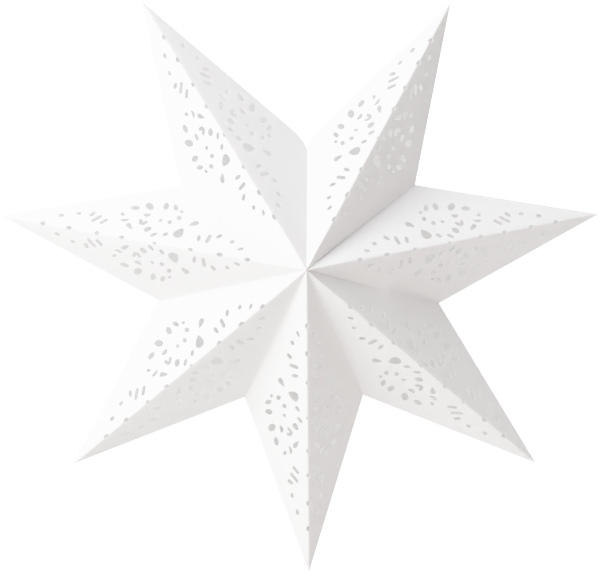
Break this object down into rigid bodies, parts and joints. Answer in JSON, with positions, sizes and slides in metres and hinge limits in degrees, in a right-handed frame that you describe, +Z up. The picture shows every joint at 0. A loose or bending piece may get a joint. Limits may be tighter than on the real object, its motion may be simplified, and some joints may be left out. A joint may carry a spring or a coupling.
{
  "type": "paper star lantern",
  "caption": "White folded paper star lantern: hollow pleated points with a pierced leaf and scroll pattern on the front, closed along one seam and hung by a lamp cord.",
  "frame": {"origin": "outer end of the closing seam, at the top of the star, where the lamp cord comes in", "axes": "+Z up as the star hangs, +Y from the pierced front to the plain back, +X to the right seen from the front"},
  "size_m": [0.5908, 0.1888, 0.5598],
  "materials": {
    "paper": "matt, uncoated",
    "clip_steel": "plain bright"
  },
  "bodies": {
    "root": {"star_point_1": "paper", "star_point_2": "paper", "star_point_3": "paper", "star_point_4": "paper", "star_point_5": "paper", "star_point_6": "paper", "star_point_7": "paper", "seam_clip_front": "clip_steel", "seam_clip_back": "clip_steel"}
  },
  "joints": []
}
